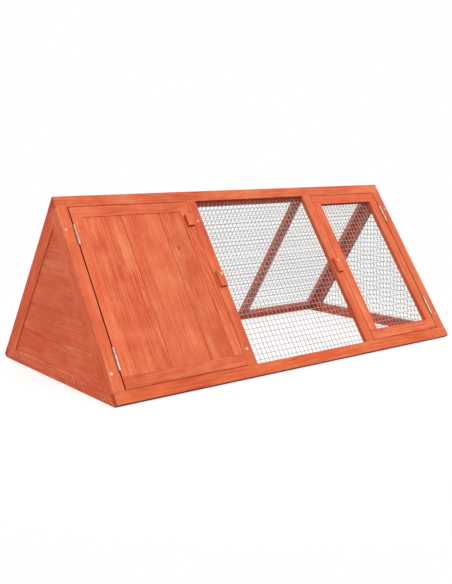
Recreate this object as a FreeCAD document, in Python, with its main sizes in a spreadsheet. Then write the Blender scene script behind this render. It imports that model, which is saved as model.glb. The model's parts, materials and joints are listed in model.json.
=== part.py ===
import FreeCAD, Part
import os
import re
import Sketcher

# Rabbit hutch with run: a triangular timber frame with a boarded den at the left end
# and a wire mesh run. The front has a boarded door, a fixed mesh bay and a mesh door.
# The part's frame: +X along the ridge, -Y the front, +Z up, with the origin on the
# ground in the middle of the footprint.

os.makedirs("parts", exist_ok=True)
doc = FreeCAD.newDocument("rabbit_hutch")

# Driving dimensions, in millimetres, and one angle in degrees
SIZES = [
    ("hutch_length", 1054, "overall length along the ridge"),
    ("panel_slope", 483, "face of a sloping panel, from its foot to the crest"),
    ("panel_pitch", 56.5, "angle of a sloping panel to the ground"),
    ("crest_half_flat", 1.9, "half of the planed flat along the crest"),
    ("frame_thickness", 12.7, "thickness of every frame timber"),
    ("rail_width", 27, "width of the rails along the ridge"),
    ("rear_crest_rail_width", 41.5, "width of the rear top rail, which is deeper than the front one"),
    ("stile_width", 27.5, "width of the stiles and of the gable and divider rails"),
    ("edge_bevel", 0.8, "bevel on the eased edges of the timbers"),
    ("den_bay", 325, "clear width of the bay of the boarded door"),
    ("run_bay", 363.5, "clear width of the fixed mesh bay"),
    ("hinge_gap", 2.8, "gap between a door and its hinge stile"),
    ("latch_gap", 1.2, "gap between a door and its closing stile"),
    ("door_gap", 1.0, "gap above and below a door"),
    ("board_thickness", 7, "thickness of the boards"),
    ("board_recess", 2, "how far the boards lie behind the frame's face"),
    ("board_gap", 0.8, "open seam between two upright boards"),
    ("door_board_width", 104.4, "step from board to board in the door"),
    ("gable_board_width", 64.5, "step from board to board in the gable"),
    ("groove_depth", 5, "depth of the grooves that hold the boards"),
    ("groove_play", 0.5, "room left at the bottom of a groove"),
    ("net_wire", 1.0, "thickness and wire width of the nets"),
    ("net_pitch", 25.4, "nominal pitch of the gaps in the nets"),
    ("net_overlap", 8, "how far a net runs onto the timbers behind which it lies"),
    ("net_play", 1.0, "room between a net and its neighbour"),
    ("divider_board", 6, "thickness of the board between den and run"),
    ("divider_play", 0.4, "room between that board and the sloping panels"),
    ("doorway_width", 150, "width of the doorway in the divider"),
    ("doorway_height", 215, "height of the crown of the doorway above the ground"),
    ("doorway_sill", 30, "height of the sill of the doorway"),
    ("hinge_length", 50, "length of a butt hinge"),
    ("hinge_drop", 98.5, "from the crest down to the upper hinge's middle"),
    ("hinge_rise", 93.5, "from the foot up to the lower hinge's middle"),
    ("knuckle_radius", 2.2, "outer radius of a hinge knuckle"),
    ("knuckle_gap", 0.3, "end play between knuckles"),
    ("knuckle_lift", 0.2, "clearance between a knuckle and the faces beside it"),
    ("pin_radius", 1.1, "radius of a hinge pin"),
    ("pin_play", 0.05, "radial play round a hinge pin"),
    ("leaf_thickness", 1.0, "thickness of a hinge leaf"),
    ("leaf_depth", 10, "depth of a hinge leaf in the gap"),
    ("hinge_screw_radius", 1.25, "shank radius of a hinge screw"),
    ("hinge_screw_length", 12, "length of a hinge screw with its head"),
    ("hinge_screw_spread", 30, "distance between the two screws of a leaf"),
    ("hinge_head_radius", 2.4, "head radius of a hinge screw"),
    ("hinge_head_height", 0.6, "height of a hinge screw's sunk head"),
    ("frame_screw_radius", 1.75, "shank radius of a frame screw"),
    ("frame_screw_length", 32, "length of a frame screw with its head"),
    ("frame_head_radius", 3.5, "head radius of a frame screw"),
    ("frame_head_height", 1.4, "height of a frame screw's sunk head"),
    ("frame_screw_drop", 82.5, "from the crest down to the upper frame screws"),
    ("frame_screw_rise", 66, "from the foot up to the lower frame screws"),
    ("end_screw_inset", 8.5, "from the end of the hutch to the end screws"),
    ("screw_play", 0.05, "radial room round a screw in its hole"),
    ("button_length", 40, "length of a turn button"),
    ("button_width", 18, "width of a turn button"),
    ("button_thickness", 9, "thickness of a turn button"),
    ("button_heel", 10, "from a turn button's short end to its screw"),
    ("button_rise", 252, "from the foot up to the screws of the turn buttons"),
    ("button_lift", 0.3, "room under a turn button"),
    ("button_play", 0.08, "play round a turn button's screw and under its head"),
    ("button_screw_radius", 2, "shank radius of a turn button's screw"),
    ("button_screw_bite", 11, "how deep that screw goes into its stile"),
    ("button_head_radius", 3.75, "head radius of a turn button's screw"),
    ("button_head_height", 1.8, "height of that head"),
    ("pull_width", 18, "width of the pull block on the boarded door"),
    ("pull_height", 30, "height of the pull block"),
    ("pull_thickness", 9, "thickness of the pull block"),
    ("pull_inset", 4, "from the door's closing edge to the pull block"),
    ("pull_drop", 67, "from the crest down to the pull block"),
]

# Boards in the left gable, upright boards behind the den, and knuckles of a hinge
GABLE_BOARDS = 5
REAR_BOARDS = 3
HINGE_KNUCKLES = 3

# Sizes worked out from the driving ones. On a sloping panel, x runs along the ridge
# from the middle, and y runs up the slope from the foot of the outer face.
WORKED = {
    "half_length": "hutch_length / 2",
    "half_base": "panel_slope * cos(panel_pitch) + crest_half_flat",
    "foot_rise": "frame_thickness * cos(panel_pitch)",
    "upper_edge": "panel_slope - rail_width",
    "rear_upper_edge": "panel_slope - rear_crest_rail_width",
    "end_left": "-half_length + stile_width",
    "den_left": "end_left + den_bay",
    "den_right": "den_left + stile_width",
    "den_middle": "den_left + stile_width / 2",
    "run_left": "den_right + run_bay",
    "run_right": "run_left + stile_width",
    "run_middle": "run_left + stile_width / 2",
    "end_right": "half_length - stile_width",
    "inner_foot": "half_base - frame_thickness * sin(panel_pitch)",
    "infill_foot": "inner_foot - stile_width / sin(panel_pitch)",
    "groove_run": "groove_depth - groove_play",
    "board_back": "board_recess + board_thickness",
    "solid_left": "end_left + hinge_gap",
    "solid_right": "den_left - latch_gap",
    "mesh_left": "run_right + latch_gap",
    "mesh_right": "end_right - hinge_gap",
    "door_low": "rail_width + door_gap",
    "door_high": "upper_edge - door_gap",
    "door_open_low": "door_low + rail_width",
    "door_open_high": "door_high - rail_width",
    "net_back": "frame_thickness + net_wire",
    "divider_left": "den_middle - frame_thickness / 2",
    "divider_right": "den_middle + frame_thickness / 2",
    "upper_hinge": "panel_slope - hinge_drop",
    "lower_hinge": "hinge_rise",
    "pin_lift": "knuckle_radius + knuckle_lift",
    "knuckle_length": f"(hinge_length - {HINGE_KNUCKLES - 1} * knuckle_gap) / {HINGE_KNUCKLES}",
    "hinge_screw_bite": "hinge_screw_length - leaf_thickness",
    "upper_screw": "panel_slope - frame_screw_drop",
    "lower_screw": "frame_screw_rise",
    "button_base": "button_lift + button_thickness + button_play",
    "pull_top": "panel_slope - pull_drop",
}

sheet = doc.addObject("Spreadsheet::Sheet", "Sizes")
for row, (name, value, note) in enumerate(SIZES, start=1):
    sheet.set(f"A{row}", name)
    sheet.set(f"B{row}", str(value))
    sheet.set(f"C{row}", note)
    sheet.setAlias(f"B{row}", name)
doc.recompute()
SIZE_NAMES = {name for name, value, note in SIZES}


def formula(text):
    """A formula in size names, turned into one that reads the sheet's cells."""
    def cell(found):
        word = found.group()
        if word in SIZE_NAMES:
            return "Sizes." + word
        if word in WORKED:
            return "(" + formula(WORKED[word]) + ")"
        return word
    return re.sub("[a-z_]+", cell, text)


def size(text):
    """The present value of a formula, as a plain number."""
    return float(sheet.evalExpression(formula(text)))


def bind(item, goal, text):
    """Tie a property of an object to a formula in the sheet's sizes."""
    item.setExpression(goal, formula(text))


def between(one, other):
    """Two formulas in the order of their values."""
    return sorted((one, other), key=size)


class Panel:
    """The frame of a sloping panel. Depth is measured inwards from its outer face.

    On the front panel z points out of the hutch, and on the rear panel inwards, so
    that x and y run the same way on both.
    """

    def __init__(self, angle, foot_y, inward):
        self.angle = angle
        self.foot_y = foot_y
        self.inward = inward

    def at_depth(self, text):
        return "0" if text == "0" else f"{self.inward} * ({text})"

    def layer(self, near, far):
        """Lower and upper z of a layer between two depths."""
        return between(self.at_depth(near), self.at_depth(far))

    def seat(self, item):
        """Stand an object that was drawn in the panel's frame where the panel stands."""
        item.Placement = FreeCAD.Placement(FreeCAD.Vector(), FreeCAD.Rotation(ALONG_X, 1))
        bind(item, "Placement.Rotation.Angle", self.angle)
        bind(item, "Placement.Base.y", self.foot_y)
        bind(item, "Placement.Base.z", "foot_rise")


ALONG_X = FreeCAD.Vector(1, 0, 0)
ALONG_Y = FreeCAD.Vector(0, 1, 0)
ALONG_Z = FreeCAD.Vector(0, 0, 1)
FRONT = Panel("panel_pitch", "-half_base", -1)
REAR = Panel("180 - panel_pitch", "half_base", 1)

finished = []


def finish(item, name, panel=None):
    """Name a sub-part and seat it on its panel."""
    item.Label = name
    if panel is not None:
        panel.seat(item)
    finished.append(item)


def new_body(name):
    return doc.addObject("PartDesign::Body", name + "_body")


def new_sketch(body, name, role, offset):
    """A sketch on an origin plane of the body, moved along the plane's normal."""
    sketch = body.newObject("Sketcher::SketchObject", name)
    plane = [item for item in body.Origin.OriginFeatures if item.Role == role][0]
    sketch.AttachmentSupport = [(plane, "")]
    sketch.MapMode = "FlatFace"
    bind(sketch, "AttachmentOffset.Base.z", offset)
    return sketch


def hold(sketch, geometry, vertex, place, texts):
    """Tie a point of a sketch to two formulas. A point on an axis stays on it."""
    rules = (("DistanceX", place.x, texts[0], -2), ("DistanceY", place.y, texts[1], -1))
    for kind, value, text, axis in rules:
        if abs(value) < Part.Precision.confusion():
            sketch.addConstraint(Sketcher.Constraint("PointOnObject", geometry, vertex, axis))
        else:
            rule = Sketcher.Constraint(kind, -1, 1, geometry, vertex, value)
            label = f"point{geometry}{kind}"
            sketch.renameConstraint(sketch.addConstraint(rule), label)
            bind(sketch, "Constraints." + label, text)


def outline(body, name, role, offset, corners):
    """A closed outline of straight lines, every corner tied to the sheet."""
    sketch = new_sketch(body, name, role, offset)
    places = [FreeCAD.Vector(size(x), size(y), 0) for x, y in corners]
    following = places[1:] + places[:1]
    for start, end in zip(places, following):
        sketch.addGeometry(Part.LineSegment(start, end))
    for index in range(len(places)):
        joined = (index + 1) % len(places)
        sketch.addConstraint(Sketcher.Constraint("Coincident", index, 2, joined, 1))
    for index, place in enumerate(places):
        hold(sketch, index, 1, place, corners[index])
    return sketch


def circles(body, name, role, offset, centres, radius):
    """Equal circles, with their centres and radius tied to the sheet."""
    sketch = new_sketch(body, name, role, offset)
    for index, (x, y) in enumerate(centres):
        centre = FreeCAD.Vector(size(x), size(y), 0)
        sketch.addGeometry(Part.Circle(centre, ALONG_Z, size(radius)))
        hold(sketch, index, 3, centre, (x, y))
        rule = Sketcher.Constraint("Radius", index, size(radius))
        sketch.renameConstraint(sketch.addConstraint(rule), f"radius{index}")
        bind(sketch, f"Constraints.radius{index}", radius)
    return sketch


def rectangle(left, low, right, high):
    return [(left, low), (right, low), (right, high), (left, high)]


def pad(body, sketch, length):
    feature = body.newObject("PartDesign::Pad", sketch.Name + "_pad")
    feature.Profile = sketch
    bind(feature, "Length", length)
    doc.recompute()
    return feature


def cut(body, sketch, length):
    """Cut a sketch out of the body, against the normal of the sketch's plane."""
    before = body.Shape.Volume
    feature = body.newObject("PartDesign::Pocket", sketch.Name + "_cut")
    feature.Profile = sketch
    bind(feature, "Length", length)
    doc.recompute()
    if body.Shape.Volume >= before:
        raise ValueError(sketch.Name + " cuts nothing")


def ease(body, feature, wanted):
    """Bevel the straight edges whose course and middle are wanted."""
    names = []
    for number, edge in enumerate(feature.Shape.Edges, start=1):
        course = edge.tangentAt(edge.FirstParameter)
        if wanted(course, edge.CenterOfMass):
            names.append(f"Edge{number}")
    bevel = body.newObject("PartDesign::Chamfer", feature.Name + "_eased")
    bevel.Base = (feature, names)
    bind(bevel, "Size", "edge_bevel")
    doc.recompute()


def runs(course, axis):
    """Whether an edge runs along an axis."""
    return course.cross(axis).Length < Part.Precision.confusion()


# Timbers, grooves and screw holes of the sloping panels and doors

def timber(name, panel, left, low, right, high, grain):
    """A flat timber whose face lies in the panel's face, with its long edges eased."""
    body = new_body(name)
    bottom = panel.layer("0", "frame_thickness")[0]
    face = outline(body, name + "_face", "XY_Plane", bottom, rectangle(left, low, right, high))
    stick = pad(body, face, "frame_thickness")
    ease(body, stick, lambda course, middle: runs(course, grain))
    return body


def groove(body, name, panel, left, low, right, high):
    """A board groove in the thickness of a timber."""
    top = panel.layer("board_recess", "board_back")[1]
    mouth = outline(body, name + "_groove", "XY_Plane", top, rectangle(left, low, right, high))
    cut(body, mouth, "board_thickness")


def screw_holes(body, name, panel, centres, radius, near, far):
    """Holes square to the panel's face, between two depths."""
    top = panel.layer(near, far)[1]
    rims = circles(body, name, "XY_Plane", top, centres, f"{radius} + screw_play")
    cut(body, rims, f"{far} - ({near})")


def frame_screw_seats(body, name, panel, along):
    """Holes and head seats for the two frame screws of a stile."""
    centres = [(along, "upper_screw"), (along, "lower_screw")]
    screw_holes(body, name + "_shanks", panel, centres, "frame_screw_radius", "0", "frame_thickness")
    screw_holes(body, name + "_heads", panel, centres, "frame_head_radius", "0", "frame_head_height")


def hinge_screw_points(panel):
    """Height and depth of the hinge screws of one leaf after the other."""
    points = []
    for hinge in ("upper_hinge", "lower_hinge"):
        for side in ("-", "+"):
            points.append((f"{hinge} {side} hinge_screw_spread / 2", panel.at_depth("leaf_depth / 2")))
    return points


def hinge_holes(body, name, edge, away):
    """Holes for the hinge screws in an edge of a stile, going in along x."""
    reach = "hinge_screw_bite + screw_play"
    right = between(edge, f"{edge} + {away} * ({reach})")[1]
    rims = circles(body, name + "_hinge_holes", "YZ_Plane", right, hinge_screw_points(FRONT),
                   "hinge_screw_radius + screw_play")
    cut(body, rims, reach)


def upright_boards(prefix, panel, left, low, right, high, seams):
    """Boards up the slope, with open seams between them and their rims in the grooves."""
    starts = [f"{left} - groove_run"] + [f"{seam} + board_gap / 2" for seam in seams]
    ends = [f"{seam} - board_gap / 2" for seam in seams] + [f"{right} + groove_run"]
    bottom = panel.layer("board_recess", "board_back")[0]
    for index, (start, end) in enumerate(zip(starts, ends)):
        name = f"{prefix}_board_{index + 1}"
        body = new_body(name)
        corners = rectangle(start, f"{low} - groove_run", end, f"{high} + groove_run")
        face = outline(body, name + "_face", "XY_Plane", bottom, corners)
        board = pad(body, face, "board_thickness")
        ease(body, board, lambda course, middle: runs(course, ALONG_Y))
        finish(body, name, panel)


# Sloping panels: two long rails with four stiles between them

def bottom_rail(prefix, panel):
    """The rail along the foot. Its lowest edge stands on the ground and stays sharp."""
    body = new_body(prefix + "_bottom_rail")
    back = panel.at_depth("frame_thickness")
    end = outline(body, prefix + "_bottom_rail_end", "YZ_Plane", "-half_length",
                  rectangle("0", back, "rail_width", "0"))
    stick = pad(body, end, "hutch_length")
    bevel = size("edge_bevel")

    def eased(course, middle):
        return runs(course, ALONG_X) and (middle.y > bevel or abs(middle.z) < bevel)
    ease(body, stick, eased)
    return body


def top_rail(prefix, panel, lower):
    """The rail along the crest, mitred against its twin, with the crest planed flat."""
    body = new_body(prefix + "_top_rail")
    back = panel.at_depth("frame_thickness")
    corners = [(lower, back),
               ("inner_foot / cos(panel_pitch)", back),
               ("panel_slope + crest_half_flat * cos(panel_pitch)",
                panel.at_depth("crest_half_flat * sin(panel_pitch)")),
               ("panel_slope", "0"),
               (lower, "0")]
    end = outline(body, prefix + "_top_rail_end", "YZ_Plane", "-half_length", corners)
    stick = pad(body, end, "hutch_length")
    limit = size(f"{lower} + edge_bevel")
    ease(body, stick, lambda course, middle: runs(course, ALONG_X) and middle.y < limit)
    return body


def panel_timbers(prefix, panel, upper):
    """All six timbers of a panel, by their place on it. Upper is where its top rail begins."""
    def stile(place, left, right):
        return timber(f"{prefix}_{place}_stile", panel, left, "rail_width", right, upper, ALONG_Y)
    parts = {
        "bottom_rail": bottom_rail(prefix, panel),
        "top_rail": top_rail(prefix, panel, upper),
        "left_stile": stile("left", "-half_length", "end_left"),
        "den_stile": stile("den", "den_left", "den_right"),
        "run_stile": stile("run", "run_left", "run_right"),
        "right_stile": stile("right", "end_right", "half_length"),
    }
    screwed = {
        "left_stile": "-half_length + end_screw_inset",
        "den_stile": "den_middle",
        "right_stile": "half_length - end_screw_inset",
    }
    for place, along in screwed.items():
        frame_screw_seats(parts[place], f"{prefix}_{place}", panel, along)
    return parts


front = panel_timbers("front", FRONT, "upper_edge")
hinge_holes(front["left_stile"], "front_left_stile", "end_left", -1)
hinge_holes(front["right_stile"], "front_right_stile", "end_right", 1)
for place, along in (("den_stile", "den_middle"), ("run_stile", "run_middle")):
    screw_holes(front[place], f"front_{place}_pivot", FRONT, [(along, "button_rise")],
                "button_screw_radius", "0", "button_screw_bite + screw_play")
for place, body in front.items():
    finish(body, "front_" + place, FRONT)

rear = panel_timbers("rear", REAR, "rear_upper_edge")
groove(rear["bottom_rail"], "rear_bottom_rail", REAR, "end_left - groove_depth",
       "rail_width - groove_depth", "den_left + groove_depth", "rail_width")
groove(rear["top_rail"], "rear_top_rail", REAR, "end_left - groove_depth",
       "rear_upper_edge", "den_left + groove_depth", "rear_upper_edge + groove_depth")
groove(rear["left_stile"], "rear_left_stile", REAR,
       "end_left - groove_depth", "rail_width", "end_left", "rear_upper_edge")
groove(rear["den_stile"], "rear_den_stile", REAR,
       "den_left", "rail_width", "den_left + groove_depth", "rear_upper_edge")
for place, body in rear.items():
    finish(body, "rear_" + place, REAR)
rear_width = f"(den_bay + 2 * groove_run) / {REAR_BOARDS}"
rear_seams = [f"end_left - groove_run + {count} * {rear_width}" for count in range(1, REAR_BOARDS)]
upright_boards("rear", REAR, "end_left", "rail_width", "den_left", "rear_upper_edge", rear_seams)


# Gables and divider: rails behind the sloping panels, square to the ridge

def slanted_rail(name, panel, left, foot):
    """A rail against the back of a sloping panel, mitred with its twin at the ridge."""
    body = new_body(name)
    near = panel.at_depth("frame_thickness")
    far = panel.at_depth("frame_thickness + stile_width")
    corners = [(f"{foot} / sin(panel_pitch)", near),
               (f"({foot} + stile_width * cos(panel_pitch)) / sin(panel_pitch)", far),
               ("(inner_foot - stile_width * sin(panel_pitch)) / cos(panel_pitch)", far),
               ("inner_foot / cos(panel_pitch)", near)]
    side = outline(body, name + "_side", "YZ_Plane", left, corners)
    stick = pad(body, side, "frame_thickness")
    ease(body, stick, lambda course, middle: runs(course, ALONG_Y))
    return body


def pilot_holes(body, name, panel, along):
    """Holes in a slanted rail for the frame screws that come through the stile."""
    centres = [(along, "upper_screw"), (along, "lower_screw")]
    screw_holes(body, name + "_pilots", panel, centres, "frame_screw_radius",
                "frame_thickness", "frame_screw_length + screw_play")


def gable_bottom_rail(name, left):
    """The rail on the ground between the two sloping panels."""
    body = new_body(name)
    corners = [("-inner_foot", "0"),
               ("inner_foot", "0"),
               ("inner_foot - stile_width / tan(panel_pitch)", "stile_width"),
               ("-inner_foot + stile_width / tan(panel_pitch)", "stile_width")]
    side = outline(body, name + "_side", "YZ_Plane", left, corners)
    stick = pad(body, side, "frame_thickness")
    bevel = size("edge_bevel")
    ease(body, stick, lambda course, middle: runs(course, ALONG_Y) and middle.z > bevel)
    return body


GABLE_BACK = "-half_length + board_back"
for panel, side in ((FRONT, "front"), (REAR, "rear")):
    name = f"left_gable_{side}_rail"
    body = slanted_rail(name, panel, "-half_length", "stile_width")
    pilot_holes(body, name, panel, "-half_length + end_screw_inset")
    mouth = outline(body, name + "_groove", "YZ_Plane", GABLE_BACK,
                    rectangle("0", panel.at_depth("frame_thickness + stile_width - groove_depth"),
                              "panel_slope", panel.at_depth("frame_thickness + stile_width")))
    cut(body, mouth, "board_thickness")
    finish(body, name, panel)

    name = f"right_gable_{side}_rail"
    body = slanted_rail(name, panel, "half_length - frame_thickness", "stile_width")
    pilot_holes(body, name, panel, "half_length - end_screw_inset")
    finish(body, name, panel)

    name = f"divider_{side}_rail"
    body = slanted_rail(name, panel, "divider_left", "0")
    pilot_holes(body, name, panel, "den_middle")
    finish(body, name, panel)

body = gable_bottom_rail("left_gable_bottom_rail", "-half_length")
mouth = outline(body, "left_gable_bottom_groove", "YZ_Plane", GABLE_BACK,
                rectangle("-infill_foot", "stile_width - groove_depth", "infill_foot", "stile_width"))
cut(body, mouth, "board_thickness")
finish(body, "left_gable_bottom_rail")
body = gable_bottom_rail("right_gable_bottom_rail", "half_length - frame_thickness")
finish(body, "right_gable_bottom_rail")

# The level boards of the left gable, cut to the slope at both ends
gable_reach = "infill_foot + groove_run / sin(panel_pitch)"
for index in range(GABLE_BOARDS):
    name = f"left_gable_board_{index + 1}"
    body = new_body(name)
    low = f"stile_width + {index} * gable_board_width" if index else "stile_width - groove_run"
    high = f"stile_width + {index + 1} * gable_board_width"
    corners = [(f"-({gable_reach}) + ({low}) / tan(panel_pitch)", low),
               (f"{gable_reach} - ({low}) / tan(panel_pitch)", low)]
    if index + 1 < GABLE_BOARDS:
        corners += [(f"{gable_reach} - ({high}) / tan(panel_pitch)", high),
                    (f"-({gable_reach}) + ({high}) / tan(panel_pitch)", high)]
    else:
        corners.append(("0", f"({gable_reach}) * tan(panel_pitch)"))
    side = outline(body, name + "_side", "YZ_Plane", "-half_length + board_recess", corners)
    board = pad(body, side, "board_thickness")
    ease(body, board, lambda course, middle: runs(course, ALONG_Y))
    finish(body, name)

# The board between den and run, with an arched doorway
divider_reach = "inner_foot - divider_play / sin(panel_pitch)"
body = new_body("divider_panel")
side = outline(body, "divider_panel_side", "YZ_Plane", "divider_left - divider_board",
               [(f"-({divider_reach})", "0"), (divider_reach, "0"),
                ("0", f"({divider_reach}) * tan(panel_pitch)")])
pad(body, side, "divider_board")
arch_rise = "doorway_height - doorway_width / 2"
opening = outline(body, "doorway_sides", "YZ_Plane", "divider_left",
                  rectangle("-doorway_width / 2", "doorway_sill", "doorway_width / 2", arch_rise))
cut(body, opening, "divider_board")
arch = circles(body, "doorway_arch", "YZ_Plane", "divider_left", [("0", arch_rise)], "doorway_width / 2")
cut(body, arch, "divider_board")
finish(body, "divider_panel")


# Doors: rails over the whole width, stiles between them

def door_timbers(prefix, left, right):
    """The four timbers of a door, by their place on it."""
    def rail(place, low, high):
        return timber(f"{prefix}_{place}_rail", FRONT, left, low, right, high, ALONG_X)

    def stile(place, start, end):
        return timber(f"{prefix}_{place}_stile", FRONT, start, "door_open_low", end,
                      "door_open_high", ALONG_Y)
    return {
        "bottom_rail": rail("bottom", "door_low", "door_open_low"),
        "top_rail": rail("top", "door_open_high", "door_high"),
        "left_stile": stile("left", left, f"{left} + stile_width"),
        "right_stile": stile("right", f"{right} - stile_width", right),
    }


solid = door_timbers("solid_door", "solid_left", "solid_right")
hinge_holes(solid["left_stile"], "solid_door_left_stile", "solid_left", 1)
solid_inner_left = "solid_left + stile_width"
solid_inner_right = "solid_right - stile_width"
groove(solid["bottom_rail"], "solid_door_bottom_rail", FRONT, f"{solid_inner_left} - groove_depth",
       "door_open_low - groove_depth", f"{solid_inner_right} + groove_depth", "door_open_low")
groove(solid["top_rail"], "solid_door_top_rail", FRONT, f"{solid_inner_left} - groove_depth",
       "door_open_high", f"{solid_inner_right} + groove_depth", "door_open_high + groove_depth")
groove(solid["left_stile"], "solid_door_left_stile", FRONT, f"{solid_inner_left} - groove_depth",
       "door_open_low", solid_inner_left, "door_open_high")
groove(solid["right_stile"], "solid_door_right_stile", FRONT, solid_inner_right,
       "door_open_low", f"{solid_inner_right} + groove_depth", "door_open_high")
for place, body in solid.items():
    finish(body, "solid_door_" + place, FRONT)
door_seams = [f"{solid_inner_left} - groove_run + {count} * door_board_width" for count in (1, 2)]
upright_boards("solid_door", FRONT, solid_inner_left, "door_open_low", solid_inner_right,
               "door_open_high", door_seams)

mesh = door_timbers("mesh_door", "mesh_left", "mesh_right")
hinge_holes(mesh["right_stile"], "mesh_door_right_stile", "mesh_right", -1)
for place, body in mesh.items():
    finish(body, "mesh_door_" + place, FRONT)


# Wooden blocks on the front: the fixed pull and the two turn buttons

def block(name, base, left, low, right, high, height):
    """A small block with the edges round its top eased."""
    body = new_body(name)
    foot = outline(body, name + "_foot", "XY_Plane", base, rectangle(left, low, right, high))
    lump = pad(body, foot, height)
    limit = size(f"{base} + {height} - edge_bevel")
    ease(body, lump, lambda course, middle: middle.z > limit)
    return body


pull_right = "solid_right - pull_inset"
body = block("solid_door_pull", "0", f"{pull_right} - pull_width", "pull_top - pull_height",
             pull_right, "pull_top", "pull_thickness")
finish(body, "solid_door_pull", FRONT)

# At rest both turn buttons are turned aside, with the long arm down their stile
BUTTON_PLACES = (("left_turn_button", "den_middle"), ("right_turn_button", "run_middle"))
for name, along in BUTTON_PLACES:
    body = block(name, "button_lift", f"{along} - button_width / 2",
                 "button_rise + button_heel - button_length",
                 f"{along} + button_width / 2", "button_rise + button_heel", "button_thickness")
    rim = circles(body, name + "_hole", "XY_Plane", "button_lift + button_thickness",
                  [(along, "button_rise")], "button_screw_radius + button_play")
    cut(body, rim, "button_thickness")
    finish(body, name, FRONT)


# Hinges, pins and screws, built up from plain solids in the panel's frame

def box(corner, extent):
    """A box from its lowest corner, as formulas."""
    solid_box = doc.addObject("Part::Box", "hardware_box")
    for goal, text in zip(("Length", "Width", "Height"), extent):
        bind(solid_box, goal, text)
    for goal, text in zip("xyz", corner):
        bind(solid_box, "Placement.Base." + goal, text)
    return solid_box


def rod(start, axis, radius, length):
    """A cylinder from the middle of its first end, along an axis."""
    cylinder = doc.addObject("Part::Cylinder", "hardware_rod")
    bind(cylinder, "Radius", radius)
    bind(cylinder, "Height", length)
    cylinder.Placement = FreeCAD.Placement(FreeCAD.Vector(), FreeCAD.Rotation(ALONG_Z, axis))
    for goal, text in zip("xyz", start):
        bind(cylinder, "Placement.Base." + goal, text)
    return cylinder


def joined(solids):
    """One object of all the solids, where those that touch become one."""
    group = doc.addObject("Part::MultiFuse", "hardware_group")
    group.Shapes = solids
    return group


def hinge_leaf(edge, towards, middle, moving):
    """Solids to add and to take away for one leaf. It lies on an edge of a timber.

    towards is the way along x from that edge to the middle of the gap.
    """
    left = between(edge, f"{edge} + {towards} * leaf_thickness")[0]
    foot = f"{middle} - hinge_length / 2"
    pin_x = f"{edge} + {towards} * hinge_gap / 2"
    added = [box((left, foot, "-leaf_depth"), ("leaf_thickness", "hinge_length", "leaf_depth"))]
    for index in range(HINGE_KNUCKLES):
        if (index % 2 == 1) == moving:
            start = f"{foot} + {index} * (knuckle_length + knuckle_gap)"
            added.append(rod((pin_x, start, "pin_lift"), ALONG_Y, "knuckle_radius", "knuckle_length"))
            added.append(box((left, start, "-leaf_depth"),
                             ("leaf_thickness", "knuckle_length", "leaf_depth + pin_lift")))
    taken = [rod((pin_x, foot, "pin_lift"), ALONG_Y, "pin_radius + pin_play", "hinge_length")]
    return added, taken


def hinge_screws(edge, towards, play):
    """The screws of all leaves on one timber edge, larger all round by the play."""
    inner = f"{edge} + {towards} * leaf_thickness"
    into = ALONG_X * -towards
    solids = []
    for height, depth in hinge_screw_points(FRONT):
        solids.append(rod((inner, height, depth), into, f"hinge_head_radius + {play}", "hinge_head_height"))
        solids.append(rod((inner, height, depth), into, f"hinge_screw_radius + {play}",
                          f"hinge_screw_length + {play}"))
    return solids


def hinge_set(name, leaves):
    """All leaves that stay with one body, with their screws as another sub-part."""
    added = []
    taken = []
    screws = []
    for edge, towards, moving in leaves:
        for middle in ("upper_hinge", "lower_hinge"):
            more, less = hinge_leaf(edge, towards, middle, moving)
            added += more
            taken += less
        taken += hinge_screws(edge, towards, "screw_play")
        screws += hinge_screws(edge, towards, "0")
    plates = doc.addObject("Part::Cut", name + "_plates")
    plates.Base = joined(added)
    plates.Tool = joined(taken)
    finish(plates, name + "_hinge_leaves", FRONT)
    finish(joined(screws), name + "_hinge_screws", FRONT)


hinge_set("frame", [("end_left", 1, False), ("end_right", -1, False)])
hinge_set("solid_door", [("solid_left", -1, True)])
hinge_set("mesh_door", [("mesh_right", 1, True)])

pins = []
for pin_x in ("end_left + hinge_gap / 2", "end_right - hinge_gap / 2"):
    for middle in ("upper_hinge", "lower_hinge"):
        foot = f"{middle} - hinge_length / 2"
        pins.append(rod((pin_x, foot, "pin_lift"), ALONG_Y, "pin_radius", "hinge_length"))
finish(joined(pins), "hinge_pins", FRONT)

pivots = []
for name, along in BUTTON_PLACES:
    pivots.append(rod((along, "button_rise", "button_base"), ALONG_Z, "button_head_radius",
                      "button_head_height"))
    pivots.append(rod((along, "button_rise", "-button_screw_bite"), ALONG_Z, "button_screw_radius",
                      "button_screw_bite + button_base"))
finish(joined(pivots), "turn_button_screws", FRONT)

for panel, side in ((FRONT, "front"), (REAR, "rear")):
    screws = []
    inwards = ALONG_Z * panel.inward
    for along in ("-half_length + end_screw_inset", "den_middle", "half_length - end_screw_inset"):
        for height in ("upper_screw", "lower_screw"):
            screws.append(rod((along, height, "0"), inwards, "frame_head_radius", "frame_head_height"))
            screws.append(rod((along, height, "0"), inwards, "frame_screw_radius", "frame_screw_length"))
    finish(joined(screws), side + "_frame_screws", panel)


# Wire nets: flat sheets with square gaps, against the backs of the timbers

def grid_gaps(left, low, right, high):
    """Corners of equal gaps that fill a rectangle, with wires round and between them."""
    wire = size("net_wire")
    columns = round((right - left - wire) / size("net_pitch"))
    rows = round((high - low - wire) / size("net_pitch"))
    across = (right - left - wire) / columns
    up = (high - low - wire) / rows
    for column in range(columns):
        for row in range(rows):
            start = left + wire + column * across
            foot = low + wire + row * up
            yield start, foot, start + across - wire, foot + up - wire


def closed_wire(points):
    return Part.makePolygon(points + points[:1])


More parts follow.
